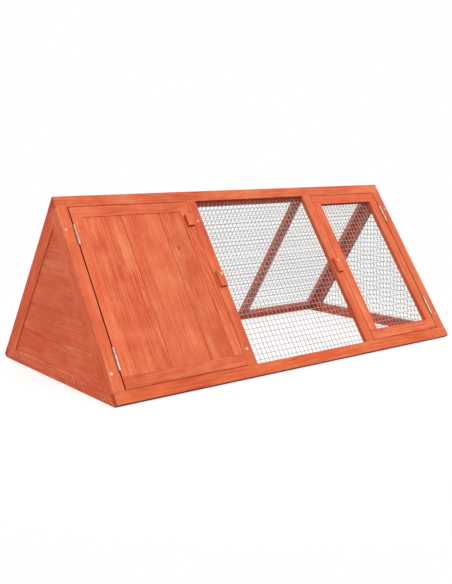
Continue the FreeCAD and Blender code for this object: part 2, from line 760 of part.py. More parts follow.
def net_sheet(name, rim, gaps, thickness):
    """A net from its rim and the outlines of its gaps, thickened along a vector.

    An outline of a gap has to run the other way round than the rim.
    """
    rim_normal = Part.Face(rim).normalAt(0, 0)
    for gap in gaps:
        if Part.Face(gap).normalAt(0, 0).dot(rim_normal) > 0:
            gap.reverse()
    item = doc.addObject("Part::Feature", name + "_net")
    item.Shape = Part.Face([rim] + gaps).extrude(thickness)
    return item


def panel_net(name, panel, left, low, right, high):
    """A rectangular net behind a panel or door."""
    level = size(panel.layer("frame_thickness", "net_back")[0])
    left, low, right, high = (size(text) for text in (left, low, right, high))

    def corners(x, y, end_x, end_y):
        flat = ((x, y), (end_x, y), (end_x, end_y), (x, end_y))
        return closed_wire([FreeCAD.Vector(along, height, level) for along, height in flat])
    gaps = [corners(*gap) for gap in grid_gaps(left, low, right, high)]
    item = net_sheet(name, corners(left, low, right, high), gaps, ALONG_Z * size("net_wire"))
    finish(item, name, panel)


def gable_net(name):
    """The triangular net of the right gable. Gaps that the slope crosses are cut by it."""
    start = size("half_length - net_back")
    wire = size("net_wire")
    slope = size("tan(panel_pitch)")
    half = size("infill_foot + net_overlap / sin(panel_pitch)")
    low = size("stile_width - net_overlap")

    def triangle(inset):
        foot = low + inset
        side = half - size(f"{inset} / sin(panel_pitch)")
        reach = side - foot / slope
        flat = ((-reach, foot), (reach, foot), (0, side * slope))
        return closed_wire([FreeCAD.Vector(start, across, height) for across, height in flat])
    clear = Part.Face(triangle(wire))
    gaps = []
    for left, foot, right, top in grid_gaps(-half, low, half, half * slope):
        flat = ((left, foot), (right, foot), (right, top), (left, top))
        square = Part.Face(closed_wire([FreeCAD.Vector(start, across, height) for across, height in flat]))
        for piece in square.common(clear).Faces:
            if piece.Area > wire * (right - left):
                gaps.append(piece.OuterWire)
    item = net_sheet(name, triangle(0), gaps, ALONG_X * wire)
    finish(item, name)


NET_LOW = "rail_width - net_overlap"
REAR_NET_HIGH = "rear_upper_edge + net_overlap"
panel_net("front_run_mesh", FRONT, "divider_right + net_play", NET_LOW, "run_left + net_overlap",
          "upper_edge + net_overlap")
panel_net("rear_mesh_long", REAR, "divider_right + net_play", NET_LOW, "run_middle - net_play / 2",
          REAR_NET_HIGH)
panel_net("rear_mesh_short", REAR, "run_middle + net_play / 2", NET_LOW,
          "half_length - net_back - net_play", REAR_NET_HIGH)
panel_net("mesh_door_mesh", FRONT, "mesh_left + stile_width - net_overlap", "door_open_low - net_overlap",
          "mesh_right - stile_width + net_overlap", "door_open_high + net_overlap")
gable_net("right_gable_mesh")

# Every feature and every sub-part is tested before anything is written
doc.recompute()
for item in doc.Objects:
    if "Invalid" in item.State or "Error" in item.State:
        raise ValueError(f"{item.Name} is in state {item.State}")
for item in finished:
    if item.Shape.isNull() or not item.Shape.isValid() or not item.Shape.Solids:
        raise ValueError(f"{item.Label} has no valid shape")
for item in finished:
    item.Shape.exportStep(f"parts/{item.Label}.step")
    print(f"{item.Label}: solids {len(item.Shape.Solids)}, volume {item.Shape.Volume:.0f}")
print(f"sub-parts {len(finished)}")
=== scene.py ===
# %% [markdown]
# # A rabbit hutch with a run
#
# This lesson dresses a finished construction model. The hutch is a long triangular prism of stained
# softwood. Its left third is a den, closed with boards, and the rest is a run, closed with wire mesh.
# The construction gives every timber, board, hinge and screw at its real size and in its real place.
# What is left to us is what the eye reads: wood grain and stain, zinc, wire mesh, screw heads, staples,
# light and camera. All lengths are in metres.

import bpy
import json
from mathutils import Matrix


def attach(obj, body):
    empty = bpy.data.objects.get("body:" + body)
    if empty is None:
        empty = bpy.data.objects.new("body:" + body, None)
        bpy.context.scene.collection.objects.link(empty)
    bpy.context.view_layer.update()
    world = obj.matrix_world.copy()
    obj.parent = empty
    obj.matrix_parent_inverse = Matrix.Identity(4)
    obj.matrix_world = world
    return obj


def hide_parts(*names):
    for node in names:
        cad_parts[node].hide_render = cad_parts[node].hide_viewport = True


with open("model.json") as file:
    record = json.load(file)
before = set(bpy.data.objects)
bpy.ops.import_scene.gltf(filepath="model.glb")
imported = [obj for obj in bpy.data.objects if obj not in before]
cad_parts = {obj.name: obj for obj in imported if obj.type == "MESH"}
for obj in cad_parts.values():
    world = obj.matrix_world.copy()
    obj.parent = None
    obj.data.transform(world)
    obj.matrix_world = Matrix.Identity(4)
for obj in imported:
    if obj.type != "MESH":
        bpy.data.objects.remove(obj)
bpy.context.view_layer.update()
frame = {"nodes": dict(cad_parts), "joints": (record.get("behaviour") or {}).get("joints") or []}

# %% Modules for meshes and numbers
import json
import math
import random

import bmesh
import bpy
from mathutils import Matrix, Vector, noise

MM = 0.001

# %% [markdown]
# ## The four sides of the hutch
#
# The front and the rear lean, so a timber's place is awkward to give in level axes. It is easy in the
# axes of its own side: across the side, up along it, and out of its face. We read the lean from the
# hinge of the mesh door, because its pin lies along the slope, and keep one small turning matrix for
# each side.

# %% Axes of each side
mesh_hinge = next(joint for joint in frame["joints"] if joint["name"] == "mesh_door_hinge")
SLOPE_RUN, SLOPE_RISE = mesh_hinge["axis"][1], mesh_hinge["axis"][2]


def side_axes(across, up):
    """A matrix that turns a point of the hutch into across, up and out of one side."""
    across, up = Vector(across), Vector(up)
    return Matrix((across, up, across.cross(up)))


SIDES = {
    "front": side_axes((1, 0, 0), (0, SLOPE_RUN, SLOPE_RISE)),
    "rear": side_axes((-1, 0, 0), (0, -SLOPE_RUN, SLOPE_RISE)),
    "left": side_axes((0, -1, 0), (0, 0, 1)),
    "right": side_axes((0, 1, 0), (0, 0, 1)),
}


def corners_on(points, axes):
    """Lowest and highest corner of some points, measured in a matrix's own axes."""
    turned = [axes @ point for point in points]
    lowest = Vector([min(point[i] for point in turned) for i in range(3)])
    highest = Vector([max(point[i] for point in turned) for i in range(3)])
    return lowest, highest


def node_corners(name, axes):
    """Lowest and highest corner of a construction piece in those axes."""
    return corners_on([vertex.co for vertex in frame["nodes"][name].data.vertices], axes)


print("slope in degrees", round(math.degrees(math.atan2(SLOPE_RISE, SLOPE_RUN)), 2))

# %% [markdown]
# ## The camera
#
# The photograph was taken from the left front, half a metre above the ground. Its eye was found from the
# straight edges of the hutch. The picture is a crop, so its centre isn't where the lens points, and a
# shift of the lens brings that back.

# %% Camera
CAMERA_TURN = math.radians(-36.7238)
CAMERA_LIFT = math.radians(3.9835)
CAMERA_ROLL = math.radians(0.1185)
CAMERA_DISTANCE = 2076.73 * MM
CAMERA_TARGET = Vector((-131.555, 0, 364.052)) * MM
LENS_LENGTH = 51.42
LENS_SHIFT = (0.05137, -0.14092)


def add_object(name, data):
    """A new object in the scene that shows some data."""
    item = bpy.data.objects.new(name, data)
    bpy.context.scene.collection.objects.link(item)
    return item


camera_data = bpy.data.cameras.new("camera")
camera_data.lens = LENS_LENGTH
camera_data.shift_x, camera_data.shift_y = LENS_SHIFT
camera = add_object("camera", camera_data)
bpy.context.scene.camera = camera

towards_eye = Vector((
    math.sin(CAMERA_TURN) * math.cos(CAMERA_LIFT),
    -math.cos(CAMERA_TURN) * math.cos(CAMERA_LIFT),
    math.sin(CAMERA_LIFT),
))
camera.rotation_mode = "QUATERNION"
camera.location = CAMERA_TARGET + towards_eye * CAMERA_DISTANCE
level_view = (-towards_eye).to_track_quat("-Z", "Y")
camera.rotation_quaternion = level_view @ Matrix.Rotation(-CAMERA_ROLL, 4, "Z").to_quaternion()
print("camera at", [round(value, 3) for value in camera.location])

# %% [markdown]
# ## Small helpers for shader trees
#
# A procedural material is a tree of many small nodes. A few helpers keep the trees short: they put a
# node in a tree, feed a socket with a value or with another node's output, and do sums on numbers and on
# vectors. Two more give what every pattern here is made of: a smooth step and a soft noise.

# %% Tree helpers
def put(tree, kind, **settings):
    """A new node of one kind, with its settings."""
    node = tree.nodes.new(kind)
    for name, value in settings.items():
        setattr(node, name, value)
    return node


def feed(tree, socket, value):
    """Links an output to a socket, or sets the socket to a plain value."""
    if isinstance(value, bpy.types.NodeSocket):
        tree.links.new(value, socket)
    else:
        socket.default_value = value


def reckon(tree, operation, *terms):
    """The result of one sum of the Math node."""
    node = put(tree, "ShaderNodeMath", operation=operation)
    for socket, term in zip(node.inputs, terms):
        feed(tree, socket, term)
    return node.outputs[0]


def reckon_vector(tree, operation, *terms):
    """The result of one sum of the Vector Math node."""
    node = put(tree, "ShaderNodeVectorMath", operation=operation)
    for socket, term in zip(node.inputs, terms):
        feed(tree, socket, term)
    return node.outputs["Value" if operation in ("DOT_PRODUCT", "LENGTH") else "Vector"]


def chained(tree, operation, terms):
    """Joins two or more terms with one kind of sum, from left to right."""
    total = terms[0]
    for term in terms[1:]:
        total = reckon(tree, operation, total, term)
    return total


def plus(tree, *terms):
    return chained(tree, "ADD", terms)


def minus(tree, *terms):
    return chained(tree, "SUBTRACT", terms)


def times(tree, *terms):
    return chained(tree, "MULTIPLY", terms)


def over(tree, *terms):
    return chained(tree, "DIVIDE", terms)


def split(tree, vector):
    """The X, Y and Z of a vector."""
    node = put(tree, "ShaderNodeSeparateXYZ")
    feed(tree, node.inputs[0], vector)
    return node.outputs


def join(tree, *numbers):
    """A vector from its X, Y and Z. Those that aren't given stay 0."""
    node = put(tree, "ShaderNodeCombineXYZ")
    for socket, number in zip(node.inputs, numbers):
        feed(tree, socket, number)
    return node.outputs[0]


def between(tree, value, low, high):
    """Rises smoothly from 0 at low to 1 at high."""
    node = put(tree, "ShaderNodeMapRange", interpolation_type="SMOOTHSTEP")
    feed(tree, node.inputs["Value"], value)
    feed(tree, node.inputs["From Min"], low)
    feed(tree, node.inputs["From Max"], high)
    return node.outputs["Result"]


def cloud(tree, place, stretch, detail=2.0, roughness=0.5):
    """Soft noise from 0 to 1. Stretch gives how many patches fit in a metre, along each axis."""
    scaled = reckon_vector(tree, "MULTIPLY", place, stretch)
    node = put(tree, "ShaderNodeTexNoise")
    feed(tree, node.inputs["Vector"], scaled)
    node.inputs["Scale"].default_value = 1.0
    node.inputs["Detail"].default_value = detail
    node.inputs["Roughness"].default_value = roughness
    return node.outputs["Fac"]


def blend_colours(tree, share, first, second):
    """First colour where the share is 0, second where it is 1."""
    node = put(tree, "ShaderNodeMix", data_type="RGBA")
    feed(tree, node.inputs["Factor"], share)
    feed(tree, node.inputs["A"], first)
    feed(tree, node.inputs["B"], second)
    return node.outputs["Result"]


def new_group(name, inputs, outputs):
    """An empty shader group with named sockets, and its two end nodes."""
    group = bpy.data.node_groups.new(name, "ShaderNodeTree")
    for socket_name, kind, value in inputs:
        socket = group.interface.new_socket(socket_name, in_out="INPUT", socket_type="NodeSocket" + kind)
        socket.default_value = value
    for socket_name, kind in outputs:
        group.interface.new_socket(socket_name, in_out="OUTPUT", socket_type="NodeSocket" + kind)
    return group, group.nodes.new("NodeGroupInput").outputs, group.nodes.new("NodeGroupOutput").inputs


def use_group(tree, group, **values):
    """A group placed in a tree. Its inputs are given with _ for a space in their names."""
    node = put(tree, "ShaderNodeGroup", node_tree=group)
    for name, value in values.items():
        feed(tree, node.inputs[name.replace("_", " ")], value)
    return node.outputs


print("tree helpers ready")

# %% [markdown]
# ## Wood grain
#
# A softwood board is a slice through a cone of yearly rings. Near the middle of the slice the rings run
# wide apart, towards its edges they crowd. So the group measures the distance from a heart line that
# lies behind the board, wanders a little along it, and cuts that distance into rings. Around a knot the
# rings bulge. Fine fibres, short dark dashes and broad cloudy patches are stretched noise. The group
# works in the board's own axes, with X along the grain, so it suits a timber that lies any way. The ring
# lines are clear in some places and faint in others, as the stain takes unevenly.

# %% Group for softwood grain
RING_WIDTH = 3.4 * MM
RING_WANDER = 22 * MM
HEART_SIDE = 70 * MM
HEART_DEPTH, DEPTH_SWING, DEPTH_WANDER = 30 * MM, 12 * MM, 30 * MM
KNOT_LENGTH_SHARE, KNOT_REACH, KNOT_PULL = 0.6, 0.22, 0.7
UNEVEN_YEARS, LEAST_CLEAR = 3.0, 0.15
SEED_STEPS = (0.731, 0.377, 0.193)


def make_grain_group():
    """Masks of the rings, bands, fibres, dashes, patches and the knot, and the height of the skin."""
    group, given, result = new_group(
        "softwood grain",
        [("Place", "Vector", (0, 0, 0)), ("Seed", "Float", 0.0), ("Knot Place", "Vector", (9, 9, 0)),
         ("Knot Radius", "Float", 0.005)],
        [("Late Wood", "Float"), ("Band", "Float"), ("Fibre", "Float"), ("Dash", "Float"),
         ("Patch", "Float"), ("Knot", "Float"), ("Relief", "Float")],
    )
    seed = given["Seed"]
    seed_shift = join(group, *[times(group, seed, step) for step in SEED_STEPS])
    place = reckon_vector(group, "ADD", given["Place"], seed_shift)

    from_knot = reckon_vector(group, "SUBTRACT", given["Place"], given["Knot Place"])
    flattened = reckon_vector(group, "MULTIPLY", from_knot, (KNOT_LENGTH_SHARE, 1, 0))
    along_knot, beside_knot, _ = split(group, flattened)
    knot_x = over(group, along_knot, given["Knot Radius"])
    knot_y = over(group, beside_knot, given["Knot Radius"])
    knot_square = plus(group, times(group, knot_x, knot_x), times(group, knot_y, knot_y))
    bulge = reckon(group, "EXPONENT", times(group, knot_square, -KNOT_REACH))

    _, level, inward = split(group, given["Place"])
    wander = minus(group, cloud(group, place, (2.6, 11, 11), detail=1.0), 0.5)
    drawn = times(group, beside_knot, bulge, -KNOT_PULL)
    across = plus(group, level, drawn, times(group, wander, RING_WANDER))
    heart_side = times(group, reckon(group, "SINE", times(group, seed, 7.3)), HEART_SIDE)
    heart_swing = times(group, reckon(group, "SINE", seed), DEPTH_SWING)
    rise = minus(group, cloud(group, place, (2.6, 2, 2), detail=1.0), 0.5)
    heart_depth = plus(group, HEART_DEPTH, heart_swing, times(group, rise, DEPTH_WANDER))
    ring_y = plus(group, across, heart_side)
    ring_z = plus(group, inward, heart_depth)
    ring_square = plus(group, times(group, ring_y, ring_y), times(group, ring_z, ring_z))
    radius = reckon(group, "SQRT", ring_square)
    uneven = cloud(group, place, (3, 24, 24))
    year = plus(group, over(group, radius, RING_WIDTH), times(group, uneven, UNEVEN_YEARS))
    phase = reckon(group, "FRACT", year)
    winter = minus(group, 1.0, between(group, phase, 0.9, 1.0))
    clear = between(group, cloud(group, place, (4.5, 16, 16)), 0.42, 0.66)
    clearness = plus(group, times(group, clear, 1 - LEAST_CLEAR), LEAST_CLEAR)
    late_wood = times(group, between(group, phase, 0.3, 0.85), winter, clearness)

    ring_line = join(group, split(group, place)["X"], radius, seed)
    fibre = cloud(group, place, (9, 340, 340), detail=3.0, roughness=0.65)
    dash = between(group, cloud(group, place, (55, 1500, 1500), detail=1.0), 0.6, 0.72)
    threads = minus(group, times(group, fibre, 0.8), times(group, dash, 0.35))
    masks = {
        "Late Wood": late_wood,
        "Band": cloud(group, ring_line, (3.6, 90, 1), detail=3.0, roughness=0.55),
        "Fibre": fibre,
        "Dash": dash,
        "Patch": cloud(group, place, (13, 20, 20), detail=4.0, roughness=0.6),
        "Knot": between(group, knot_square, 1.25, 0.75),
        "Relief": plus(group, times(group, late_wood, 0.45), threads),
    }
    for name, mask in masks.items():
        feed(group, result[name], mask)
    return group


GRAIN = make_grain_group()
print("grain group nodes", len(GRAIN.nodes))

# %% [markdown]
# ## Worn and highlighted edges
#
# Handling rubs stain off the corners of a timber first. The lighter colour that this mask puts on the
# corners is partly that wear and partly a painted highlight, where light catches the arrises. A timber is
# nearly a box, so the distance from a point on its skin to the nearest corner edge is the middle one of
# its three distances to the box's faces. That works on loose triangles too, where curvature can't be read.

# %% Group for worn edges
LEAST_WEAR = 0.2 * MM


def make_edge_group():
    """A mask of the corner edges, wider where they are rubbed more."""
    group, given, result = new_group(
        "worn edges",
        [("Place", "Vector", (0, 0, 0)), ("Half Size", "Vector", (1, 1, 1)), ("Width", "Float", 2 * MM),
         ("Seed", "Float", 0.0)],
        [("Edge", "Float")],
    )
    distance = reckon_vector(group, "ABSOLUTE", given["Place"])
    first, second, third = split(group, reckon_vector(group, "SUBTRACT", given["Half Size"], distance))
    smaller = reckon(group, "MINIMUM", first, second)
    larger = reckon(group, "MAXIMUM", first, second)
    middle = reckon(group, "MAXIMUM", smaller, reckon(group, "MINIMUM", larger, third))
    shifted = reckon_vector(group, "ADD", given["Place"], given["Seed"])
    rubbed = cloud(group, shifted, (40, 90, 90), detail=3.0, roughness=0.65)
    reach = times(group, given["Width"], between(group, rubbed, 0.35, 0.75))
    inner = between(group, middle, 0.0, plus(group, reach, LEAST_WEAR))
    feed(group, result["Edge"], minus(group, 1.0, inner))
    return group


EDGES = make_edge_group()
print("edge group nodes", len(EDGES.nodes))

# %% [markdown]
# ## Stain on the wood
#
# The hutch is dipped in an orange stain. Soft early wood drinks it and goes even, hard late wood keeps
# it on top and shows as darker lines, cut ends and knots drink most and go deep red. Faces that look
# down, and sides that face a slit, a hinge or the ground, get painted shade: a mask blends them towards
# almost black, where shade would fall. The group turns the grain's masks into one colour and one
# roughness: from a pale orange over the stain itself to deep red, with a lighter colour on the corners
# that is partly rubbed stain and partly a painted highlight.

# %% Group for the stain
# Painted shade: the almost black colour towards which faces that look down, and sides that face a slit, are
# blended.
PAINTED_SHADE_COLOUR = (0.08, 0.007, 0.002, 1)
SWINGS = (("Late Wood", 0.15, 0.34), ("Band", 0.5, 0.6), ("Fibre", 0.5, 1.0), ("Dash", 0.0, 0.3),
          ("Patch", 0.5, 1.0))
# Knots and end grain drink more stain. The shading mask is painted shade, which deepens the colour as well.
DRINKERS_AND_SHADE = (("Knot", 0.5), ("End Grain", 0.4), ("Underside", 0.8))
PLAIN_DEPTH = 0.42


def make_stain_group():
    """The colour and the roughness of stained wood. Each mask swings the stain's depth."""
    masks = {"Late Wood": 0.0, "Band": 0.5, "Fibre": 0.5, "Dash": 0.0, "Patch": 0.5, "Knot": 0.0,
             "End Grain": 0.0, "Underside": 0.0, "Edge": 0.0}
    group, given, result = new_group(
        "orange stain",
        [(name, "Color", (1, 1, 1, 1)) for name in ("Pale", "Stain", "Deep", "WornLit")]
        + [("Contrast", "Float", 1.0)] + [(name, "Float", value) for name, value in masks.items()],
        [("Color", "Color"), ("Roughness", "Float")],
    )
    depth = 0.0
    for name, middle, weight in SWINGS:
        depth = plus(group, depth, times(group, minus(group, given[name], middle), weight))
    depth = plus(group, times(group, depth, given["Contrast"]), PLAIN_DEPTH)
    for name, weight in DRINKERS_AND_SHADE:
        depth = plus(group, depth, times(group, given[name], weight))
    light_half = blend_colours(group, between(group, depth, 0.0, 0.5), given["Pale"], given["Stain"])
    stained = blend_colours(group, between(group, depth, 0.25, 1.15), light_half, given["Deep"])
    # Lighter corners: partly rubbed stain, partly a painted highlight along the arrises.
    worn_share = times(group, given["Edge"], 0.45, minus(group, 1.0, given["Underside"]))
    worn = blend_colours(group, worn_share, stained, given["WornLit"])
    # Painted shade: the shading mask blends the colour towards almost black.
    painted_shade_share = times(group, given["Underside"], 0.6)
    feed(group, result["Color"], blend_colours(group, painted_shade_share, worn, PAINTED_SHADE_COLOUR))
    rough = plus(group, 0.52, times(group, given["Fibre"], 0.16), times(group, given["Dash"], 0.1))
    feed(group, result["Roughness"], rough)
    return group


STAIN = make_stain_group()
print("stain group nodes", len(STAIN.nodes))

# %% [markdown]
# ## Saw marks
#
# The boards of the gable are left as they come from the saw. Here and there its blade has torn pale
# fibres out of the face, in thin lines a few degrees off the grain, and on the narrow rail it has left
# short slanting strokes. Both are patterns of one group, and a cloud says where they stay. A few timbers
# of the front get a little of the first.

# %% Group for saw marks
LINE_SLANT = 0.07
STROKE_SLANT, STROKE_STEP, STROKE_SWAY = 1.1, 2.9 * MM, 26 * MM


def make_saw_group():
    """A mask of torn fibres and slanting strokes."""
    group, given, result = new_group(
        "saw marks",
        [("Place", "Vector", (0, 0, 0)), ("Seed", "Float", 0.0), ("Torn", "Float", 1.0),
         ("Strokes", "Float", 0.0)],
        [("Fuzz", "Float")],
    )
    place = reckon_vector(group, "ADD", given["Place"], given["Seed"])
    along, across, _ = split(group, place)
    askew = join(group, along, plus(group, across, times(group, along, LINE_SLANT)))
    lines = between(group, cloud(group, askew, (11, 430, 1)), 0.56, 0.66)
    where = between(group, cloud(group, place, (6, 24, 24)), 0.52, 0.64)
    torn = times(group, lines, where, given["Torn"])

    uneven = times(group, cloud(group, place, (30, 60, 60), detail=3.0), STROKE_SWAY)
    slant = plus(group, along, times(group, across, STROKE_SLANT), uneven)
    wave = reckon(group, "SINE", over(group, slant, STROKE_STEP))
    where = between(group, cloud(group, place, (9, 60, 60), detail=3.0), 0.48, 0.62)
    strokes = times(group, between(group, wave, 0.55, 0.95), where, given["Strokes"])
    feed(group, result["Fuzz"], reckon(group, "MAXIMUM", torn, strokes))
    return group


SAW = make_saw_group()
print("saw group nodes", len(SAW.nodes))

# %% [markdown]
# ## One wood material for each timber
#
# Every timber is cut from another tree, so each gets a material of its own: the same groups with another
# seed and a slightly different depth of stain. A Mapping node moves the pattern's centre to the middle
# of the timber and turns its X along the grain. The node's turn comes from the side's axes, so a leaning
# stile needs no angle typed in.

# %% Wood material
PALE_COLOUR = Vector((0.89, 0.265, 0.115))
STAIN_COLOUR = Vector((0.83, 0.163, 0.058))
DEEP_COLOUR = Vector((0.56, 0.048, 0.019))
# The corner colour: partly rubbed stain, partly a painted highlight on the arrises.
WORN_AND_LIT_COLOUR = Vector((0.92, 0.36, 0.19))
TORN_COLOUR = Vector((0.95, 0.42, 0.25))
# Painted shade: the timbers of the shaded sides get a redder tint; the left gable's tint is lighter, a
# painted lift of its light.
SHADE_TINT = Vector((1.10, 0.79, 0.73))
LEFT_GABLE_SHADE_TINT = Vector((1.10, 0.91, 0.86))
DEEPER_SHIFT = Vector((1.0, 0.86, 0.82))
WOOD_GLOSS, FOOT_GLOSS = 0.22, 0.08


def opaque(colour):
    """The colour with its alpha, as sockets want it."""
    return (*colour, 1.0)


def grain_axes(along, out):
    """A matrix with its X along the grain and its Z out of the timber's face."""
    return Matrix((along, out.cross(along), out))


def principled(name):
    """A new material and its tree, shader and Bump node."""
    material = bpy.data.materials.new(name)
    material.use_nodes = True
    tree = material.node_tree
    shader = tree.nodes["Principled BSDF"]
    bump = put(tree, "ShaderNodeBump")
    tree.links.new(bump.outputs["Normal"], shader.inputs["Normal"])
    return material, tree, shader, bump


def mapped(tree, vector, turn, shift=(0, 0, 0)):
    """A vector that a Mapping node turns and then shifts."""
    node = put(tree, "ShaderNodeMapping", vector_type="POINT")
    feed(tree, node.inputs["Vector"], vector)
    node.inputs["Rotation"].default_value = turn
    node.inputs["Location"].default_value = shift
    return node.outputs[0]


def set_bump(bump, distance, strength):
    """How high the relief stands, and how much of it counts."""
    bump.inputs["Distance"].default_value = distance
    bump.inputs["Strength"].default_value = strength


def wood_material(name, points, axes, seed, tone, contrast, torn, strokes, knot, shaded_side, gloss):
    """A stained wood material for one timber. Tone shifts its colours, torn and strokes are saw marks,
    and the shaded side is the direction in which its skin lies in a slit, by a hinge or on the ground;
    there, and on faces that look down, painted shade darkens the colour."""
    material, tree, shader, bump = principled("wood_" + name)
    lowest, highest = corners_on(points, axes)
    coordinates = put(tree, "ShaderNodeTexCoord").outputs
    normal, turn = coordinates["Normal"], axes.to_euler("XYZ")
    place = mapped(tree, coordinates["Object"], turn, -(lowest + highest) / 2)
    end_side = split(tree, mapped(tree, normal, turn))["X"]
    end_grain = between(tree, reckon(tree, "ABSOLUTE", end_side), 0.6, 0.9)
    # Painted shade: faces that look down, and the side towards a slit, a hinge or the ground, are darkened
    # where shade would fall.
    painted_shade = between(tree, split(tree, normal)["Z"], -0.55, -0.75)
    if shaded_side:
        towards = reckon_vector(tree, "DOT_PRODUCT", normal, shaded_side)
        painted_shade = plus(tree, painted_shade, between(tree, towards, 0.75, 0.9))
    knot_values = {"Knot_Place": (knot[0], knot[1], 0), "Knot_Radius": knot[2]} if knot else {}
    grain = use_group(tree, GRAIN, Place=place, Seed=seed, **knot_values)
    edge = use_group(tree, EDGES, Place=place, Half_Size=(highest - lowest) / 2, Seed=seed)
    mask_names = ("Late Wood", "Band", "Fibre", "Dash", "Patch", "Knot")
    masks = {key.replace(" ", "_"): grain[key] for key in mask_names}
    colours = {"Pale": PALE_COLOUR, "Stain": STAIN_COLOUR, "Deep": DEEP_COLOUR, "WornLit": WORN_AND_LIT_COLOUR}
    shifted = {key: opaque(colour * tone) for key, colour in colours.items()}
    stain = use_group(tree, STAIN, Contrast=contrast, End_Grain=end_grain, Underside=painted_shade,
                      Edge=edge["Edge"], **shifted, **masks)
    colour, height = stain["Color"], grain["Relief"]
    if torn or strokes:
        marks = use_group(tree, SAW, Place=place, Seed=seed, Torn=torn, Strokes=strokes)
        colour = blend_colours(tree, times(tree, marks["Fuzz"], 0.75), colour, opaque(TORN_COLOUR))
        height = plus(tree, height, times(tree, marks["Fuzz"], 0.8))
    feed(tree, shader.inputs["Base Color"], colour)
    feed(tree, shader.inputs["Roughness"], stain["Roughness"])
    shader.inputs["Specular IOR Level"].default_value = gloss
    feed(tree, bump.inputs["Height"], height)
    set_bump(bump, 0.25 * MM, 0.6)
    return material


print("stain colour", [round(value, 3) for value in STAIN_COLOUR])

# %% [markdown]
# ## Which way each timber lies
#
# A few rules read a piece's name and say along which line its grain runs. Top and bottom rails lie
# level. Stiles, the boards of the doors and the rear, and the leaning rails of the gables go up the
# slope. The boards of the left gable lie level, and the divider is a sheet with its grain upright.

# %% Grain direction by name
X_AXIS, Y_AXIS, Z_AXIS = Vector((1, 0, 0)), Vector((0, 1, 0)), Vector((0, 0, 1))
METAL_WORDS = ("hinge_leaves", "hinge_screws", "hinge_pins", "frame_screws", "turn_button_screws")
NET_WORDS = ("mesh_long", "mesh_short", "run_mesh", "gable_mesh", "door_mesh")


def grain_of(name):
    """Directions along the grain and out of the face of a wooden piece."""
    front_up, front_out = SIDES["front"][1], SIDES["front"][2]
    rear_up, rear_out = SIDES["rear"][1], SIDES["rear"][2]
    if "gable" in name or "divider" in name:
        out = SIDES["right"][2] if name.startswith("right") else SIDES["left"][2]
        if name.endswith("front_rail"):
            return front_up, out
        if name.endswith("rear_rail"):
            return rear_up, out
        return (Z_AXIS if name == "divider_panel" else Y_AXIS), out
    up, out = (rear_up, rear_out) if name.startswith("rear") else (front_up, front_out)
    level = name.endswith(("top_rail", "bottom_rail", "pull"))
    return (X_AXIS if level else up), out


wooden = [name for name in sorted(frame["nodes"]) if not name.endswith(METAL_WORDS + NET_WORDS)]
print("wooden pieces", len(wooden))

# %% [markdown]
# ## What sets one timber off from another
#
# No two timbers of a real hutch look alike, and a few catch the eye. Tables name what is particular:
# knots, with their place and radius, a tone above or below 1, stronger or weaker grain, torn fibres.
# Timbers of the sides that lie in shade get a redder tint, which is painted shade, and two are deeper in
# colour. A side that faces a slit, a hinge or the ground gets painted shade: it is blended dark, as the
# shade in the gap would fall. All other timbers get a tone and a contrast from a seeded random number.

# %% Tables of particular timbers
KNOTS = {
    "solid_door_board_3": (92 * MM, 12 * MM, 3.5 * MM),
    "rear_board_1": (-60 * MM, 20 * MM, 7 * MM),
    "rear_board_3": (110 * MM, -14 * MM, 6 * MM),
    "rear_run_stile": (-90 * MM, 2 * MM, 4 * MM),
    "divider_panel": (60 * MM, 90 * MM, 8 * MM),
}
TONES = {"front_left_stile": 1.05, "front_top_rail": 0.95, "solid_door_board_3": 0.92,
         "solid_door_bottom_rail": 0.9, "solid_door_left_stile": 1.06, "solid_door_top_rail": 1.0,
         "front_den_stile": 0.94, "front_run_stile": 0.97, "front_right_stile": 0.95,
         "rear_run_stile": 0.97, "right_gable_rear_rail": 1.02}
# Painted shade: the timbers of these sides get a redder tint, as they lie in shade.
SHADED_TIMBER_PREFIXES = ("left_gable", "right_gable", "rear", "divider")
DEEPER = ("solid_door_bottom_rail", "front_den_stile")
WAVY = {"solid_door_bottom_rail": 1.4, "solid_door_top_rail": 0.7, "mesh_door_bottom_rail": 1.3,
        "solid_door_board_1": 1.35, "solid_door_board_2": 0.9, "solid_door_board_3": 1.2,
        "front_bottom_rail": 0.8}
TORN = {"mesh_door_bottom_rail": 0.7, "solid_door_board_2": 0.5, "front_top_rail": 0.5}
TORN.update({"left_gable_board_%d" % number: 1.0 for number in range(1, 6)})
FRONT_UP, REAR_UP, REAR_OUT = SIDES["front"][1], SIDES["rear"][1], SIDES["rear"][2]
# Painted shade: the side of each timber that faces a slit, a hinge or the ground, where shade falls.
SHADED_SIDES = {
    "solid_door_left_stile": -X_AXIS, "front_left_stile": X_AXIS,
    "mesh_door_right_stile": X_AXIS, "front_right_stile": -X_AXIS,
    "left_gable_rear_rail": -REAR_OUT, "right_gable_rear_rail": -REAR_OUT,
    "front_bottom_rail": -FRONT_UP, "rear_bottom_rail": -REAR_UP,
}
STROKES = {"left_gable_bottom_rail": 1.0}
GLOSSES = {"front_bottom_rail": FOOT_GLOSS}
print("particular tones", len(TONES), "shaded sides", len(SHADED_SIDES))

# %% Wood on every timber
def dress(name, material):
    """Gives a construction piece its only material."""
    materials = frame["nodes"][name].data.materials
    materials.clear()
    materials.append(material)


